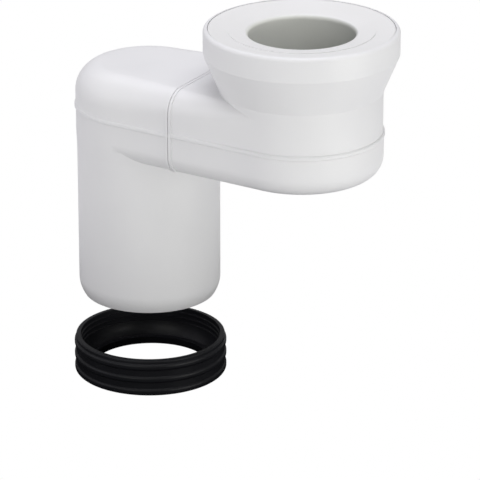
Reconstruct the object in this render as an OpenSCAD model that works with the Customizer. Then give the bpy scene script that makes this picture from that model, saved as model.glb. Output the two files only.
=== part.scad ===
// Offset connector for a toilet outlet, DN 100.
//
// Two moulded shells are welded together at an upright seam. The outlet shell
// carries the spigot that goes down into the soil pipe. The inlet shell carries
// the neck, the cone and the collar that takes the toilet's own outlet. A white
// lip seal sits in the collar, and a black lip seal belongs round the spigot.
// It is kept off the spigot here, straight below it.
//
// Origin: centre of the spigot's lower end. +Z is up, +X points to the inlet.

/* [Spigot] */
// Outside diameter of the spigot
spigot_d = 110; // [100:1:114]
// Wall of the spigot
spigot_wall = 5; // [4:0.5:7]
// Height of the chamber's floor above the spigot's end
spigot_length = 122; // [60:1:240]
// Height of the rounded lead-in at the end
lead_height = 13; // [9:1:20]
// Wall left at the tip of the lead-in
tip_wall = 1; // [0.6:0.2:2]

/* [Chamber] */
// Distance between the axes of the spigot and the collar
axis_offset = 134; // [132:1:220]
// Height of the chamber
chamber_height = 65; // [60:1:90]
// Wall of the chamber, the neck and the cone
wall = 4; // [3:0.5:5]
// Rounding of the top edge
top_round = 22; // [10:1:26]
// Rounding of the bottom edge
bottom_round = 15; // [8:1:20]
// How far the upper wall stands out over the spigot
upper_step = 0.8; // [0.8:0.1:1.5]
// How far the wall under it stands out over the spigot
swell_step = 0.6; // [0.6:0.1:0.8]
// How far the lower wall stands out under the neck
lower_step = 0.7; // [0.4:0.1:1.5]

/* [Parting bead] */
// Height of the bead's middle above the chamber's floor
bead_level = 32; // [26:1:34]
// Height of the bead
bead_height = 3.6; // [2.4:0.2:5]
// How far the bead stands out over the wall
bead_proud = 0.8; // [0.5:0.1:1.5]
// How much lower the outlet shell's bead lies than the inlet shell's
bead_drop = 0.6; // [0:0.2:1]

/* [Weld seam] */
// Distance of the seam from the spigot's axis
seam_x = 53; // [52:0.5:55]
// Width of the weld bead on each shell
weld_width = 2.3; // [1.5:0.1:4]
// How far the weld bead stands out over the side walls
weld_proud = 1.2; // [0.9:0.1:2]
// How far the weld bead stands out over the top and the floor
weld_rise = 0.5; // [0.3:0.1:1]
// Width of the groove between the two weld beads
weld_groove = 0.6; // [0.2:0.1:1]

/* [Neck and collar] */
// Outside diameter of the neck
neck_d = 123; // [116:1:132]
// Height of the cone's foot above the chamber's top
neck_rise = 1; // [1:1:30]
// Height of the cone
cone_height = 28.7; // [24.7:1:50.7]
// Outside diameter of the collar
collar_d = 147; // [144:1:152]
// Height of the collar
collar_height = 19; // [19:1:42]
// Wall of the collar round the seal
rim_wall = 3.2; // [3.2:0.2:4]
// Rounding of the collar's upper edge
rim_round = 3; // [0.6:0.2:3]

/* [Inlet seal] */
// Diameter of the hole that takes the toilet's outlet
seal_hole_d = 80; // [70:1:90]
// Height of the seal in the collar
seal_height = 13; // [10:1:14]
// Depth of the seal's outer edge under the rim
seal_recess = 0.2; // [0.2:0.2:2]
// Angle at which the seal's face falls towards the hole
seal_slope = 7; // [4:1:9]
// Thickness of the seal's flange
seal_flange = 3; // [2:0.5:4]
// Thickness of the inner sleeve
seal_sleeve = 3; // [2.5:0.5:3]
// Thickness of the seal's outer wall
seal_skirt = 4; // [3:0.5:5]
// Length of the sleeve's straight bore under the rounded lip
sleeve_bore = 26; // [16:1:30]
// Length of the lip that narrows below the bore
sleeve_lip = 8; // [4:1:12]
// How far the lip narrows the hole on each side
lip_reach = 2; // [1:0.5:4]
// Rounding of the hole's upper edge
lip_round = 3.3; // [3.1:0.2:4.5]
// Rounding of the seal's outer edge
seal_round = 0.8; // [0.4:0.2:1]
// Diameter of the raised middle of the face
land_d = 110.6; // [100.6:1:124.6]
// How far the middle of the face is raised
land_rise = 0.4; // [0.2:0.1:1]
// Gap between the seal and the collar round it
seal_gap = 0.3; // [0.1:0.1:0.6]

/* [Outlet seal] */
// How far the ribs stand out over the spigot's wall
rib_proud = 4.65; // [4.15:0.25:7.15]
// Number of ribs
rib_count = 3; // [2:1:5]
// Distance from one rib to the next
rib_pitch = 10.2; // [8.2:0.2:12]
// Width of a rib
rib_width = 6.2; // [5:0.2:7]
// Rounding of the ribs' edges
rib_round = 2.4; // [1:0.2:2.4]
// Depth of the grooves between the ribs
groove_depth = 1.2; // [0.8:0.2:1.6]
// Height of the plain edge over the first rib
ring_edge = 2.8; // [2:0.2:5]
// Rounding of the plain edge
edge_round = 1.2; // [0.6:0.2:1.4]
// How much smaller than the spigot the ring is, on each side, so that it grips
ring_squeeze = 0.2; // [0:0.1:0.5]
// Number of grip ridges inside the ring
ridge_count = 3; // [1:1:3]
// Distance from one grip ridge to the next
ridge_pitch = 4.2; // [3:0.2:4.6]
// Height of the grip ridges
ridge_height = 0.6; // [0.2:0.2:1]
// Thickness of the bottom that reaches under the spigot's end
ring_floor = 5.6; // [4:0.2:7]
// How far the ring's bottom reaches in past the spigot's bore
ring_reach = 4; // [1:0.5:8]
// Distance that the ring is kept below the spigot's end
ring_gap = 37; // [20:1:80]

/* [Hidden] */
$fn = 96;
white = "whitesmoke";
black = "#202224";

// Radii
spigot_r = spigot_d / 2;
bore_r = spigot_r - spigot_wall;
neck_r = neck_d / 2;
neck_bore_r = neck_r - wall;
collar_r = collar_d / 2;
collar_bore_r = collar_r - rim_wall;
upper_r = spigot_r + upper_step;
swell_r = spigot_r + swell_step;
lower_r = neck_r + lower_step;
hole_r = seal_hole_d / 2;
seal_r = collar_bore_r - seal_gap;
ledge_r = seal_r - seal_skirt;
land_r = land_d / 2;
rib_r = spigot_r + rib_proud;
ring_hole_r = bore_r - ring_reach;

// Levels above the spigot's end
floor_z = spigot_length;
parting_z = floor_z + bead_level;
top_z = floor_z + chamber_height;
cone_z = top_z + neck_rise;
collar_z = cone_z + cone_height;
rim_z = collar_z + collar_height;
face_z = rim_z - seal_recess;
seat_z = face_z - seal_height;

// The lead-in is an arc that meets the spigot's wall smoothly
lead_in = spigot_wall - tip_wall;
lead_arc = (pow(lead_height, 2) + pow(lead_in, 2)) / (2 * lead_in);

// The wall begins to swell this far below the floor, so that the spigot's plain
// wall ends clear of the chamber, and reaches its full radius over this height
swell_start = 2;
swell_height = 14;
swell_z = floor_z - swell_start;
floor_r = spigot_r + swell_step * swell_start / swell_height;

// The cone's wall is as thick as the rest, measured square to it
cone_slope = (collar_r - neck_r) / cone_height;
cone_wall = wall * sqrt(1 + pow(cone_slope, 2));

// A cut runs this far past the face it opens
past = 1;

// A side wall runs this far inside a turned wall that it joins, so that the two
// cross instead of only touching
skin = 0.1;

// The lower walls run this far up into the upper ones, behind the parting bead
lap = bead_height / 4;
lower_height = bead_level + lap;
upper_height = chamber_height - bead_level;

// The parting bead is narrower at its upper and lower edges, this far in
bead_edge = bead_height / 4;

// Section from x = 0 to a wall at x = r, with its two outer corners rounded
module walled_section(r, z0, z1, low_round = 0, high_round = 0)
{
    translate([0, z0 + low_round])
        square([r, z1 - z0 - low_round - high_round]);
    if (low_round > 0) {
        translate([0, z0])
            square([r - low_round, low_round]);
        translate([r - low_round, z0 + low_round])
            circle(low_round);
    }
    if (high_round > 0) {
        translate([0, z1 - high_round])
            square([r - high_round, high_round]);
        translate([r - high_round, z1 - high_round])
            circle(high_round);
    }
}

// Section of a spigot with the lead-in's arc at its tip
module lead_in_section(r, height)
{
    translate([0, lead_height])
        square([r, height - lead_height]);
    intersection() {
        square([r, lead_height]);
        translate([r - lead_arc, lead_height])
            circle(lead_arc);
    }
}

// Section of the spigot up to the chamber's floor
module spigot_section()
{
    lead_in_section(spigot_r, swell_z);
    polygon([
        [0, swell_z],
        [spigot_r, swell_z],
        [floor_r, floor_z],
        [0, floor_z]
    ]);
}

// Section of the round wall between the floor and the upper wall
module swell_section()
{
    polygon([
        [0, floor_z],
        [floor_r, floor_z],
        [swell_r, swell_z + swell_height],
        [swell_r, parting_z + lap],
        [0, parting_z + lap]
    ]);
}

// Angle at which the side walls widen from r1 at the spigot to r2 at the collar
function lean(r1, r2) = asin((r2 - r1) / axis_offset);

// Places what is built upwards from z = 0, with its flat face there, either on
// the level z or upside down under it
module standing_on(z)
{
    translate([0, 0, z])
        children();
}

module hanging_from(z)
{
    translate([0, 0, z])
        mirror([0, 0, 1])
            children();
}

// The walls between the two round ends, one on each side, along the line that
// touches a circle of r1 round one axis and a circle of r2 round the other.
// The edge of their flat face is rounded.
module side_walls(r1, r2, height, round)
{
    for (side = [0, 1])
        mirror([0, side, 0])
            rotate([0, 0, lean(r1, r2)])
                rotate([90, 0, 90])
                    linear_extrude(axis_offset * cos(lean(r1, r2)))
                        union() {
                            walled_section(r1, 0, height, round, 0);
                            translate([-r1 / 2, 0])
                                square([r1 / 2 + past, height]);
                        }
}

// The round end at the spigot, from one side wall to the other
module spigot_end(r1, r2, height, round)
{
    rotate([0, 0, 90 + lean(r1, r2)])
        rotate_extrude(angle = 180 - 2 * lean(r1, r2))
            walled_section(r1, 0, height, round, 0);
}

// The round end at the collar
module collar_end(r2, height, round)
{
    at_collar()
        rotate_extrude()
            walled_section(r2, 0, height, round, 0);
}

module at_collar()
{
    translate([axis_offset, 0, 0])
        children();
}

// Everything on one side of the welded seam, short of it by a gap
module outlet_side(gap = 0)
{
    translate([-2 * spigot_d, -collar_d, 0])
        cube([2 * spigot_d + seam_x - gap, 2 * collar_d, 2 * rim_z]);
}

module inlet_side(gap = 0)
{
    translate([seam_x + gap, -collar_d, 0])
        cube([2 * axis_offset, 2 * collar_d, 2 * rim_z]);
}

// The chamber's side walls above and below the parting line, swollen to the
// sides and up or down for the weld bead
module upper_walls(side = 0, rise = 0)
{
    hanging_from(top_z + rise)
        side_walls(upper_r + side, neck_r - skin + side, upper_height - skin + rise,
            top_round + rise);
}

module lower_walls(side = 0, rise = 0)
{
    standing_on(floor_z - rise)
        side_walls(swell_r - skin + side, lower_r - skin + side,
            lower_height - skin + rise, bottom_round - skin / 2 + rise);
}

// The chamber's outline at the seam, as a raised bead on each side of it
module weld_beads()
{
    intersection() {
        union() {
            upper_walls(weld_proud, weld_rise);
            lower_walls(weld_proud, weld_rise);
        }
        translate([seam_x - weld_width, -collar_d, 0])
            cube([2 * weld_width, 2 * collar_d, rim_z]);
    }
}

// Outline of the chamber seen from above, for radii r1 and r2
module outline(r1, r2)
{
    x1 = -r1 * sin(lean(r1, r2));
    y1 = r1 * cos(lean(r1, r2));
    x2 = axis_offset - r2 * sin(lean(r1, r2));
    y2 = r2 * cos(lean(r1, r2));
    circle(r1);
    translate([axis_offset, 0])
        circle(r2);
    polygon([[x1, y1 - skin], [x1, skin - y1], [x2, skin - y2], [x2, y2 - skin]]);
}

// The bead where the mould's halves met, all round the chamber
module parting_bead(level)
{
    for (step = [1, 2])
        translate([0, 0, level - bead_height / 2 + (2 - step) * bead_edge])
            linear_extrude(bead_height - 2 * (2 - step) * bead_edge)
                outline(upper_r + bead_proud * (3 - step) / 2,
                    lower_r + bead_proud * (3 - step) / 2);
}

// What is hollow in the outlet shell: the spigot's bore and the closed end
module outlet_waterway()
{
    translate([0, 0, -past])
        cylinder(parting_z + lap + past, bore_r, bore_r);
    hanging_from(top_z - wall)
        spigot_end(upper_r - spigot_wall, neck_bore_r - skin, upper_height - wall,
            top_round - wall);
}

// What is hollow in the chamber between its ends
module chamber_waterway()
{
    hanging_from(top_z - wall)
        side_walls(upper_r - spigot_wall, neck_bore_r - skin,
            upper_height - wall - skin, top_round - wall);
    standing_on(floor_z + wall)
        side_walls(bore_r - skin, lower_r - wall - skin, lower_height - wall - skin,
            bottom_round - skin / 2 - wall);
}

// What is hollow in the inlet shell: the round end, the neck and the collar
module inlet_waterway()
{
    slope_start = cone_z + (cone_wall - wall) / cone_slope;
    slope_end = slope_start + (ledge_r - neck_bore_r) / cone_slope;
    standing_on(floor_z + wall)
        collar_end(lower_r - wall, lower_height - wall, bottom_round - wall);
    at_collar()
        rotate_extrude()
            polygon([
                [0, parting_z],
                [neck_bore_r, parting_z],
                [neck_bore_r, slope_start],
                [ledge_r, slope_end],
                [ledge_r, seat_z],
                [collar_bore_r, seat_z],
                [collar_bore_r, rim_z + past],
                [0, rim_z + past]
            ]);
}

// The outlet shell before its hollows are cut
module outlet_solid()
{
    rotate_extrude()
        spigot_section();
    // Round wall over the spigot and the lower walls up to the seam
    intersection() {
        union() {
            rotate_extrude()
                swell_section();
            lower_walls();
        }
        outlet_side();
    }
    // Closed round end and the upper walls up to the seam
    intersection() {
        union() {
            hanging_from(top_z)
                spigot_end(upper_r, neck_r - skin, upper_height, top_round);
            upper_walls();
        }
        outlet_side();
    }
    intersection() {
        parting_bead(parting_z - bead_drop / 2);
        outlet_side();
    }
    intersection() {
        weld_beads();
        outlet_side(weld_groove / 2);
    }
}

module outlet_shell()
{
    color(white)
        difference() {
            difference() {
                outlet_solid();
                outlet_waterway();
            }
            chamber_waterway();
        }
}

// The inlet shell before its hollows are cut
module inlet_solid()
{
    // Round end of the chamber and the lower walls up to the seam
    intersection() {
        union() {
            standing_on(floor_z)
                collar_end(lower_r, lower_height, bottom_round);
            lower_walls();
        }
        inlet_side();
    }
    // Neck, cone and collar, and the upper walls up to the seam
    intersection() {
        union() {
            at_collar()
                rotate_extrude()
                    union() {
                        polygon([
                            [0, parting_z],
                            [neck_r, parting_z],
                            [neck_r, cone_z],
                            [collar_r, collar_z],
                            [0, collar_z]
                        ]);
                        walled_section(collar_r, collar_z, rim_z,
                            0, rim_round);
                    }
            upper_walls();
        }
        inlet_side();
    }
    intersection() {
        parting_bead(parting_z + bead_drop / 2);
        inlet_side();
    }
    // The weld bead stops at the spigot, which reaches past the seam
    difference() {
        intersection() {
            weld_beads();
            inlet_side(weld_groove / 2);
        }
        cylinder(floor_z, swell_r, swell_r);
    }
}

module inlet_shell()
{
    color(white)
        difference() {
            difference() {
                inlet_solid();
                inlet_waterway();
            }
            chamber_waterway();
        }
}

// What is cut off a section's corner to round it: a square of the given width
// and more, from the middle of the rounding outwards, without the disc
module corner_cut(round, width, inwards = false)
{
    difference() {
        translate([inwards ? -round - past : round - width, 0])
            square([width + past, round + past]);
        circle(round);
    }
}

// Flange whose face falls towards the hole, with a raised middle, an outer wall
// that stands on the collar's ledge, and a sleeve that narrows to a sealing lip
module inlet_seal()
{
    rise = tan(seal_slope);
    edge_r = seal_r - seal_round;
    // Where the face leaves the lip's rounding without a kink
    start_r = hole_r + lip_round * (1 - sin(seal_slope));
    start_z = face_z + land_rise - (edge_r - start_r) * rise;
    lip_z = start_z - lip_round * cos(seal_slope);
    land_z = start_z + (land_r - start_r) * rise;
    under_z = start_z - seal_flange;
    bore_z = lip_z - sleeve_bore;
    tip_z = bore_z - sleeve_lip;
    sleeve_r = hole_r + seal_sleeve;
    color(white)
        at_collar()
            rotate_extrude()
                difference() {
                    polygon([
                        [hole_r, start_z],
                        [start_r, start_z],
                        [land_r, land_z],
                        [land_r, land_z - land_rise],
                        [edge_r, face_z],
                        [seal_r, face_z],
                        [seal_r, seat_z],
                        [ledge_r, seat_z],
                        [ledge_r, under_z + (ledge_r - start_r) * rise],
                        [sleeve_r, under_z],
                        [sleeve_r, bore_z],
                        [hole_r - lip_reach + seal_sleeve / 2, tip_z],
                        [hole_r - lip_reach, tip_z],
                        [hole_r, bore_z]
                    ]);
                    translate([hole_r + lip_round, lip_z])
                        corner_cut(lip_round, start_r - hole_r, true);
                    translate([edge_r, face_z - seal_round])
                        corner_cut(seal_round, seal_round);
                }
}

// Black ring that is pulled over the spigot's end: ribs outside, grip ridges
// inside, and a bottom that reaches under the spigot's tip
module outlet_seal()
{
    height = ring_edge + (rib_count - 1) * rib_pitch + rib_width;
    bottom = -ring_gap - height;
    seat = bottom + ring_floor;
    bore = spigot_r - ring_squeeze;
    root = rib_r - groove_depth;
    color(black)
        rotate_extrude()
            difference() {
                union() {
                    walled_section(root, bottom, -ring_gap, rib_round, edge_round);
                    for (i = [0 : rib_count - 1]) {
                        top = -ring_gap - ring_edge - i * rib_pitch;
                        walled_section(rib_r, top - rib_width, top,
                            rib_round, rib_round);
                    }
                }
                difference() {
                    translate([0, seat])
                        lead_in_section(bore, 2 * height);
                    for (i = [1 : ridge_count])
                        translate([bore, -ring_gap - i * ridge_pitch])
                            polygon([
                                [past, -ridge_height - past],
                                [-ridge_height, 0],
                                [past, ridge_height + past]
                            ]);
                }
                translate([0, bottom - past])
                    square([ring_hole_r, height]);
            }
}

outlet_shell();
inlet_shell();
inlet_seal();
outlet_seal();
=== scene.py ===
"""Offset toilet connector in white plastic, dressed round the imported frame.

The two seals are the CAD's own and get procedural materials here. The two
shells are stood for by copies with fuller shoulders. The camera stands where
the photograph was taken from, in the frame's own metres.
"""
import math

import bmesh
import bpy
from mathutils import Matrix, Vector


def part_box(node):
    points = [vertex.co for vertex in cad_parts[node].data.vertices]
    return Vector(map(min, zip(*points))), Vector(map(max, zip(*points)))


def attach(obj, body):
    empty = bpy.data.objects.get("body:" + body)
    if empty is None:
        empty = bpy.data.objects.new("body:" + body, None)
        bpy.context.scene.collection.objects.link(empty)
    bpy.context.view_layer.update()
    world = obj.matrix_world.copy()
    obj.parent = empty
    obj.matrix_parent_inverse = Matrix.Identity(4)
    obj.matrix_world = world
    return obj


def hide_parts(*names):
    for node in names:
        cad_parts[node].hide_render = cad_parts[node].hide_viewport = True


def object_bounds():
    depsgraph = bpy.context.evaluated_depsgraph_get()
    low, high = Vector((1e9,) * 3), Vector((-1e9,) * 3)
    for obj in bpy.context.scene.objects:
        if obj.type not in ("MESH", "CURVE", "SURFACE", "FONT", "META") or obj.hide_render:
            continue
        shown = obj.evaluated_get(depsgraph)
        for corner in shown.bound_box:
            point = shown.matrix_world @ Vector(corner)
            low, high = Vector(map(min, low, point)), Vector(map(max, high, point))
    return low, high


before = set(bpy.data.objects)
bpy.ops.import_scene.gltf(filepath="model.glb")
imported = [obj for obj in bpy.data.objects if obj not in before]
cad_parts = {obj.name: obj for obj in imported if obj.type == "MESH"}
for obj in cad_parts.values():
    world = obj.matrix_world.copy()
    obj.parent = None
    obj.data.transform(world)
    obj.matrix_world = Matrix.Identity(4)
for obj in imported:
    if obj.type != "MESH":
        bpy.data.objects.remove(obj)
size_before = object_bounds()

# Camera of the photograph: where it stands, where it looks and how far it zooms
CAMERA_AT = (1.38438, -2.25785, 1.07787)
CAMERA_YAW = 29.993
CAMERA_PITCH = 21.4
FOCAL_PX = 3653.8
PHOTO_PX = 480
SENSOR_MM = 36.0
FARTHEST_SEEN = 20.0


def material(name):
    """A new node material with its Principled shader and output in place."""
    mat = bpy.data.materials.new(name)
    mat.use_nodes = True
    tree = mat.node_tree
    return mat, tree, tree.nodes["Principled BSDF"]


def noise(tree, scale, detail=3.0):
    """Noise in the object's own coordinates, so that it stays with the piece."""
    place = tree.nodes.new("ShaderNodeTexCoord")
    node = tree.nodes.new("ShaderNodeTexNoise")
    node.inputs["Scale"].default_value = scale
    node.inputs["Detail"].default_value = detail
    tree.links.new(place.outputs["Object"], node.inputs["Vector"])
    return node.outputs["Fac"]


def spread(tree, value, low, high, start=0.3, end=0.7):
    """Maps a value between start and end to the range from low to high."""
    node = tree.nodes.new("ShaderNodeMapRange")
    node.inputs["From Min"].default_value = start
    node.inputs["From Max"].default_value = end
    node.inputs["To Min"].default_value = low
    node.inputs["To Max"].default_value = high
    tree.links.new(value, node.inputs["Value"])
    return node.outputs["Result"]


def blend(tree, value, first, second):
    """Colour between first and second by value. Each may be a colour or a link."""
    node = tree.nodes.new("ShaderNodeMix")
    node.data_type = "RGBA"
    for socket, colour in ((node.inputs[6], first), (node.inputs[7], second)):
        if isinstance(colour, tuple):
            socket.default_value = (*colour, 1.0)
        else:
            tree.links.new(colour, socket)
    tree.links.new(value, node.inputs[0])
    return node.outputs[2]


def bump(tree, shader, value, distance):
    """Raises the surface by up to distance where value is high."""
    node = tree.nodes.new("ShaderNodeBump")
    node.inputs["Distance"].default_value = distance
    tree.links.new(value, node.inputs["Height"])
    tree.links.new(node.outputs["Normal"], shader.inputs["Normal"])


def distance_from_axis(tree, x):
    """How far a point of the object is from the upright axis at x."""
    place = tree.nodes.new("ShaderNodeTexCoord")
    shift = tree.nodes.new("ShaderNodeVectorMath")
    shift.operation = "SUBTRACT"
    shift.inputs[1].default_value = (x, 0.0, 0.0)
    flat = tree.nodes.new("ShaderNodeVectorMath")
    flat.operation = "MULTIPLY"
    flat.inputs[1].default_value = (1.0, 1.0, 0.0)
    length = tree.nodes.new("ShaderNodeVectorMath")
    length.operation = "LENGTH"
    tree.links.new(place.outputs["Object"], shift.inputs[0])
    tree.links.new(shift.outputs["Vector"], flat.inputs[0])
    tree.links.new(flat.outputs["Vector"], length.inputs[0])
    return length.outputs["Value"]


def along_x(tree):
    """How far a point of the object is along X."""
    place = tree.nodes.new("ShaderNodeTexCoord")
    split = tree.nodes.new("ShaderNodeSeparateXYZ")
    tree.links.new(place.outputs["Object"], split.inputs["Vector"])
    return split.outputs["X"]


# Noise scales, as cells to the metre: the colour's patches, the roughness's
# patches and, for each material, its grain
COLOUR_PATCHES = 14.0
ROUGH_PATCHES = 60.0
GRAIN_DETAIL = 2.0
PLAIN_GLOSS = 0.5


def moulded(name, colours, rough, grain, grain_depth, gloss=PLAIN_GLOSS, painted_shade_inside=None):
    """A moulded surface: two near colours in soft patches, a roughness that
    varies in its own patches, and a fine grain. painted_shade_inside is (axis,
    radius, left, right) for the part of it that lies within a radius of an
    upright axis, whose colour carries painted light and shade, with one colour
    on each side of that axis."""
    mat, tree, shader = material(name)
    shader.inputs["Specular IOR Level"].default_value = gloss
    patches = spread(tree, noise(tree, COLOUR_PATCHES), 0.0, 1.0)
    colour = blend(tree, patches, *colours)
    # Painted light and shade: within the radius the colour goes from the left colour to
    # the right colour across the axis
    if painted_shade_inside:
        axis, radius, left, right = painted_shade_inside
        reach = spread(tree, distance_from_axis(tree, axis), 1.0, 0.0,
                       radius, radius + SLEEVE_SHADE_FADE)
        across = spread(tree, along_x(tree), 0.0, 1.0, axis - radius, axis + radius)
        colour = blend(tree, reach, colour, blend(tree, across, left, right))
    tree.links.new(colour, shader.inputs["Base Color"])
    roughness = spread(tree, noise(tree, ROUGH_PATCHES), *rough)
    tree.links.new(roughness, shader.inputs["Roughness"])
    bump(tree, shader, noise(tree, grain, GRAIN_DETAIL), grain_depth)
    return mat


# The collar's axis and the radius inside which the seal's sleeve carries painted
# light and shade: painted light on its left, painted shade on its right
seal_low, seal_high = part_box("inlet_seal")
COLLAR_X = (seal_low[0] + seal_high[0]) / 2
SLEEVE_SHADE_RADIUS = 0.0402
SLEEVE_SHADE_FADE = 0.002
# Painted light and shade of the sleeve: near white on its left, dark grey on its right
SLEEVE_PAINTED_SHADES = ((0.95, 0.96, 0.90), (0.27, 0.28, 0.26))

SHELL_WHITES = ((0.80, 0.80, 0.805), (0.77, 0.77, 0.78))
SEAL_WHITES = ((0.80, 0.80, 0.795), (0.775, 0.775, 0.765))
RUBBER_BLACKS = ((0.0065, 0.0068, 0.0088), (0.0092, 0.0096, 0.012))
SHELL_ROUGH = (0.36, 0.46)
SEAL_ROUGH = (0.42, 0.52)
RUBBER_ROUGH = (0.38, 0.5)
SHELL_GRAIN, SHELL_GRAIN_DEPTH = 900.0, 0.00002
SEAL_GRAIN, SEAL_GRAIN_DEPTH = 700.0, 0.00003
RUBBER_GRAIN, RUBBER_GRAIN_DEPTH = 1200.0, 0.00003
RUBBER_GLOSS = 0.22

shell = moulded("shell_plastic", SHELL_WHITES, SHELL_ROUGH,
                SHELL_GRAIN, SHELL_GRAIN_DEPTH)
# The seal's sleeve gets painted light and shade in its colour
soft_white = moulded("white_seal_plastic", SEAL_WHITES, SEAL_ROUGH,
                     SEAL_GRAIN, SEAL_GRAIN_DEPTH,
                     painted_shade_inside=(COLLAR_X, SLEEVE_SHADE_RADIUS, *SLEEVE_PAINTED_SHADES))
black = moulded("black_rubber", RUBBER_BLACKS, RUBBER_ROUGH,
                RUBBER_GRAIN, RUBBER_GRAIN_DEPTH, gloss=RUBBER_GLOSS)

for node, finish in (("inlet_seal", soft_white), ("outlet_seal", black)):
    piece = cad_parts[node]
    for place in piece.material_slots:
        place.material = finish


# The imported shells' sizes: the height of the chamber's top, the distance
# between the axes, the radii of the chamber's round ends, the neck's radius in
# the middle of its wall, and where the seam and its weld beads lie
TOP_Z = 0.187
AXIS_OFFSET = 0.134
UPPER_R = 0.0558
LOWER_R = 0.0622
WALL_R = 0.0614
NECK_MIDDLE_R = 0.0595
SEAM_X = 0.053
WELD_FROM, WELD_TO = 0.0003, 0.0023
WELD_PROUD = 0.0012
WELD_RISE = 0.0005

# The parting bead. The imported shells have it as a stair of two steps. The
# inner step moves in at the bead's edges and out at the upper step, so that
# slopes come of it. STEP_MOVES has the moves by height over or under the
# bead's middle.
BEAD_MIDDLE = {"outlet_shell": 0.1537, "inlet_shell": 0.1543}
STEP_FROM, STEP_TO = 0.00025, 0.00045
STEP_MOVES = {0.0018: -0.00037, 0.0009: 0.00037}
NEAR = 0.00001
BEAD_LEAN = math.asin((LOWER_R - UPPER_R) / AXIS_OFFSET)

# The chamber's shoulders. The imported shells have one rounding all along. The
# real one narrows from the spigot to the neck, so they are filled out there,
# from a little way inside their skin to a hair over it.
WIDE_ROUND = 0.022
NARROW_ROUND = 0.0075
NARROW_X = 0.126
NARROWING = 1.3
SKIN_DEPTH = 0.002
OVERLAP = 0.0005
RAISED = 0.00002
SEAM_GAP = 0.00001
ARC_STEPS = 16
STATION = 0.002
LEAN = math.asin((WALL_R - UPPER_R) / AXIS_OFFSET)

# Meshes: the distance at which points are one, the angle from which an edge
# is sharp, and the cylinder that cuts the fillings back at the neck
MERGED = 1e-7
SHARP_ANGLE = math.radians(18)
CORE_SIDES = 256
CORE_DEPTH = 0.1


def outline_at(x, y):
    """How far a point stands out over the chamber's outline, and which way it
    moves to stand out farther. By the side walls that is along Y, so that the
    seam's faces stay flat."""
    if x < -UPPER_R * math.sin(BEAD_LEAN):
        out = Vector((x, y, 0.0))
        return out.length - UPPER_R, out.normalized()
    if x > AXIS_OFFSET - LOWER_R * math.sin(BEAD_LEAN):
        out = Vector((x - AXIS_OFFSET, y, 0.0))
        return out.length - LOWER_R, out.normalized()
    away = abs(y) * math.cos(BEAD_LEAN) - x * math.sin(BEAD_LEAN)
    return away - UPPER_R, Vector((0.0, math.copysign(1.0, y), 0.0))


def slope_bead(piece, node):
    """Makes the parting bead's stair a slope on each side."""
    for vert in piece.data.vertices:
        height = abs(vert.co.z - BEAD_MIDDLE[node])
        for at, move in STEP_MOVES.items():
            if abs(height - at) < NEAR:
                proud, out = outline_at(vert.co.x, vert.co.y)
                if STEP_FROM < proud < STEP_TO:
                    vert.co += out * move


def rounding(x):
    """Radius of the shoulder's rounding at x."""
    share = min(max(x / NARROW_X, 0.0), 1.0) ** NARROWING
    return WIDE_ROUND + (NARROW_ROUND - WIDE_ROUND) * share


def shoulder_section(x, proud, rise):
    """Outer and inner line of the filling at x, as points (from the middle, up)."""
    radius = rounding(x) + rise
    top = TOP_Z + rise + RAISED
    wall = UPPER_R + proud + RAISED
    foot = TOP_Z - WIDE_ROUND
    turns = [math.radians(90 * i / ARC_STEPS) for i in range(ARC_STEPS + 1)]
    outer = [(wall, foot - OVERLAP)]
    outer += [(wall - radius + radius * math.cos(a), top - radius + radius * math.sin(a))
              for a in turns]
    outer.append((UPPER_R - WIDE_ROUND - OVERLAP, top))
    kept = WIDE_ROUND - SKIN_DEPTH
    inner = [(UPPER_R - SKIN_DEPTH, foot - OVERLAP)]
    inner += [(UPPER_R - WIDE_ROUND + kept * math.cos(a), foot + kept * math.sin(a))
              for a in turns]
    inner.append((UPPER_R - WIDE_ROUND - OVERLAP, TOP_Z - SKIN_DEPTH))
    return outer, inner


def shoulder(x0, x1, side, proud=0.0, rise=0.0):
    """Solid that fills the shoulder out between x0 and x1 on one side."""
    build = bmesh.new()
    count = max(2, round((x1 - x0) / STATION) + 1)
    rings = []
    for i in range(count):
        x = x0 + (x1 - x0) * i / (count - 1)
        ring = []
        for line in shoulder_section(x, proud, rise):
            verts = []
            for u, z in line:
                along = (x + u * math.sin(LEAN)) / math.cos(LEAN)
                y = along * math.sin(LEAN) + u * math.cos(LEAN)
                verts.append(build.verts.new((x, side * y, z)))
            ring.append(verts)
        rings.append(ring)
    last = len(rings[0][0]) - 1
    for (outer_a, inner_a), (outer_b, inner_b) in zip(rings, rings[1:]):
        for i in range(last):
            build.faces.new((outer_a[i], outer_b[i], outer_b[i + 1], outer_a[i + 1]))
            build.faces.new((inner_a[i], inner_a[i + 1], inner_b[i + 1], inner_b[i]))
        for i in (0, last):
            build.faces.new((outer_a[i], inner_a[i], inner_b[i], outer_b[i]))
    for outer, inner in (rings[0], rings[-1]):
        for i in range(last):
            build.faces.new((outer[i], outer[i + 1], inner[i + 1], inner[i]))
    bmesh.ops.recalc_face_normals(build, faces=build.faces)
    return from_bmesh("filling", build)


def from_bmesh(name, build):
    """A new object in the scene with the built mesh."""
    data = bpy.data.meshes.new(name)
    build.to_mesh(data)
    build.free()
    obj = bpy.data.objects.new(name, data)
    bpy.context.collection.objects.link(obj)
    return obj


def settle(obj):
    """Puts the result of an object's modifiers in its mesh."""
    bpy.context.view_layer.update()
    graph = bpy.context.evaluated_depsgraph_get()
    data = bpy.data.meshes.new_from_object(obj.evaluated_get(graph))
    obj.modifiers.clear()
    obj.data = data


def combine(obj, others, operation):
    """Boolean of obj with the others, which are used up."""
    for other in others:
        step = obj.modifiers.new("combine", "BOOLEAN")
        step.operation = operation
        step.solver = "EXACT"
        step.object = other
    settle(obj)
    for other in others:
        bpy.data.objects.remove(other)


def copy_of(node):
    """The node's mesh as a new closed object."""
    build = bmesh.new()
    build.from_mesh(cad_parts[node].data)
    bmesh.ops.remove_doubles(build, verts=build.verts, dist=MERGED)
    return from_bmesh(node + "_moulding", build)


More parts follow.
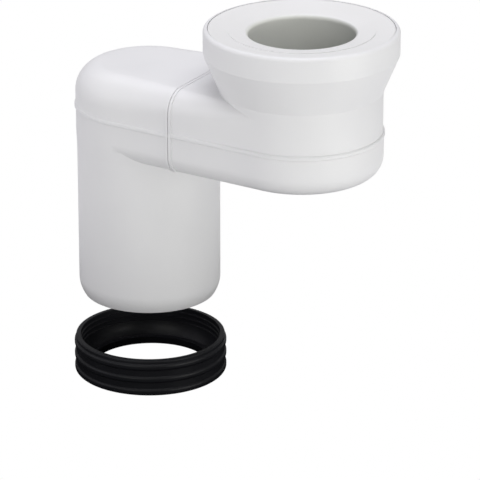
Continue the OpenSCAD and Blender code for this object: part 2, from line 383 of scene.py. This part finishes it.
def smooth(obj):
    """Smooth shading that keeps flat faces flat and real edges sharp."""
    build = bmesh.new()
    build.from_mesh(obj.data)
    bmesh.ops.dissolve_degenerate(build, edges=build.edges, dist=MERGED)
    for face in build.faces:
        face.smooth = True
    for edge in build.edges:
        edge.smooth = edge.is_manifold and edge.calc_face_angle(0.0) < SHARP_ANGLE
    build.to_mesh(obj.data)
    build.free()
    weigh = obj.modifiers.new("weigh", "WEIGHTED_NORMAL")
    weigh.keep_sharp = True
    settle(obj)


def neck_core():
    """Cylinder up to the middle of the neck's wall, to cut the filling back to."""
    bpy.ops.mesh.primitive_cylinder_add(vertices=CORE_SIDES, radius=NECK_MIDDLE_R,
                                        depth=CORE_DEPTH,
                                        location=(AXIS_OFFSET, 0, TOP_Z))
    return bpy.context.object


def moulding(node, spans):
    """The node's shell, filled out on both shoulders over each span. A span is
    from x to x, with how far it stands out to the side and over the top."""
    piece = copy_of(node)
    slope_bead(piece, node)
    fillings = [shoulder(x0, x1, side, proud, rise)
                for side in (1, -1) for x0, x1, proud, rise in spans]
    if node == "inlet_shell":
        for filling in fillings:
            combine(filling, [neck_core()], "DIFFERENCE")
    combine(piece, fillings, "UNION")
    smooth(piece)
    piece.data.materials.clear()
    piece.data.materials.append(shell)
    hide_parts(node)
    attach(piece, "root")
    return piece


moulding("outlet_shell", (
    (0.0, SEAM_X - SEAM_GAP, 0.0, 0.0),
    (SEAM_X - WELD_TO + SEAM_GAP, SEAM_X - WELD_FROM - SEAM_GAP, WELD_PROUD, WELD_RISE)))
moulding("inlet_shell", (
    (SEAM_X + SEAM_GAP, AXIS_OFFSET, 0.0, 0.0),
    (SEAM_X + WELD_FROM + SEAM_GAP, SEAM_X + WELD_TO - SEAM_GAP, WELD_PROUD, WELD_RISE)))


# Floor and background: white for the camera. For the light the floor goes from a
# painted shade patch, near black round the spigot's axis, to pale between two distances
# from that axis.
FLOOR_HALF = 6.0
FLOOR_DROP = 0.001
FLOOR_PAINTED_SHADE = (0.01, 0.01, 0.01)
FLOOR_FAR = (0.9, 0.9, 0.9)
FLOOR_DARK = 0.16
FLOOR_LIGHT = 0.36
floor_z = size_before[0][2] - FLOOR_DROP


def white_to_camera(name):
    """White for the camera. For the light it is painted near black under the
    spigot, a patch of painted shade for the spigot's foot, and pale farther off."""
    mat = bpy.data.materials.new(name)
    mat.use_nodes = True
    tree = mat.node_tree
    tree.nodes.clear()
    out = tree.nodes.new("ShaderNodeOutputMaterial")
    mix = tree.nodes.new("ShaderNodeMixShader")
    path = tree.nodes.new("ShaderNodeLightPath")
    seen = tree.nodes.new("ShaderNodeEmission")
    seen.inputs["Strength"].default_value = 1.0
    pale = tree.nodes.new("ShaderNodeBsdfDiffuse")
    # Painted shade: near black close to the spigot's axis, pale beyond
    away = spread(tree, distance_from_axis(tree, 0.0), 0.0, 1.0,
                  FLOOR_DARK, FLOOR_LIGHT)
    tree.links.new(blend(tree, away, FLOOR_PAINTED_SHADE, FLOOR_FAR), pale.inputs["Color"])
    tree.links.new(path.outputs["Is Camera Ray"], mix.inputs["Fac"])
    tree.links.new(pale.outputs["BSDF"], mix.inputs[1])
    tree.links.new(seen.outputs["Emission"], mix.inputs[2])
    tree.links.new(mix.outputs["Shader"], out.inputs["Surface"])
    return mat


bpy.ops.mesh.primitive_plane_add(size=2 * FLOOR_HALF, location=(0, 0, floor_z))
floor = bpy.context.object
floor.name = "floor"
floor.data.materials.append(white_to_camera("floor_white"))


def softbox(name, at, size, power, colour):
    """A rectangular lamp that looks at the middle of the part."""
    data = bpy.data.lights.new(name, "AREA")
    data.shape = "RECTANGLE"
    data.size, data.size_y = size
    data.energy = power
    data.color = colour
    lamp = bpy.data.objects.new(name, data)
    lamp.location = at
    facing = Vector(MIDDLE) - lamp.location
    lamp.rotation_euler = facing.to_track_quat("-Z", "Y").to_euler()
    bpy.context.collection.objects.link(lamp)


# The softboxes by name: place, size, power in watts and colour
MIDDLE = (0.07, 0.0, 0.10)
SOFTBOXES = {
    "right": ((1.7, -0.2, 0.15), (1.2, 0.5), 9.1, (1.0, 1.0, 0.97)),
    "front": ((0.2, -2.0, 0.6), (1.4, 1.0), 8.0, (1.0, 1.0, 0.96)),
    "over": ((0.4, -0.1, 1.9), (1.4, 1.4), 15.6, (0.98, 0.98, 1.0)),
    "behind": ((-0.5, 0.5, 1.7), (1.6, 1.6), 10.8, (0.94, 0.92, 1.0)),
    "left": ((-1.4, -1.2, 0.7), (1.2, 1.2), 5.5, (0.93, 0.90, 1.0)),
}
for name, (at, size, power, colour) in SOFTBOXES.items():
    softbox(name, at, size, power, colour)

# The room's even light, and white behind the part for the camera
AMBIENT = 0.3
WHITE = (1.0, 1.0, 1.0, 1.0)
world = bpy.data.worlds.new("studio")
bpy.context.scene.world = world
world.use_nodes = True
tree = world.node_tree
ambient = tree.nodes["Background"]
ambient.inputs["Color"].default_value = WHITE
ambient.inputs["Strength"].default_value = AMBIENT
seen = tree.nodes.new("ShaderNodeBackground")
seen.inputs["Color"].default_value = WHITE
seen.inputs["Strength"].default_value = 1.0
mix = tree.nodes.new("ShaderNodeMixShader")
path = tree.nodes.new("ShaderNodeLightPath")
tree.links.new(path.outputs["Is Camera Ray"], mix.inputs["Fac"])
tree.links.new(ambient.outputs["Background"], mix.inputs[1])
tree.links.new(seen.outputs["Background"], mix.inputs[2])
tree.links.new(mix.outputs["Shader"], tree.nodes["World Output"].inputs["Surface"])

lens = bpy.data.cameras.new("camera")
lens.sensor_width = SENSOR_MM
lens.lens = FOCAL_PX / PHOTO_PX * SENSOR_MM
lens.clip_end = FARTHEST_SEEN
camera = bpy.data.objects.new("camera", lens)
camera.location = CAMERA_AT
camera.rotation_euler = (math.radians(90 - CAMERA_PITCH), 0, math.radians(CAMERA_YAW))
bpy.context.collection.objects.link(camera)
bpy.context.scene.camera = camera
bpy.context.scene.view_settings.view_transform = "Standard"
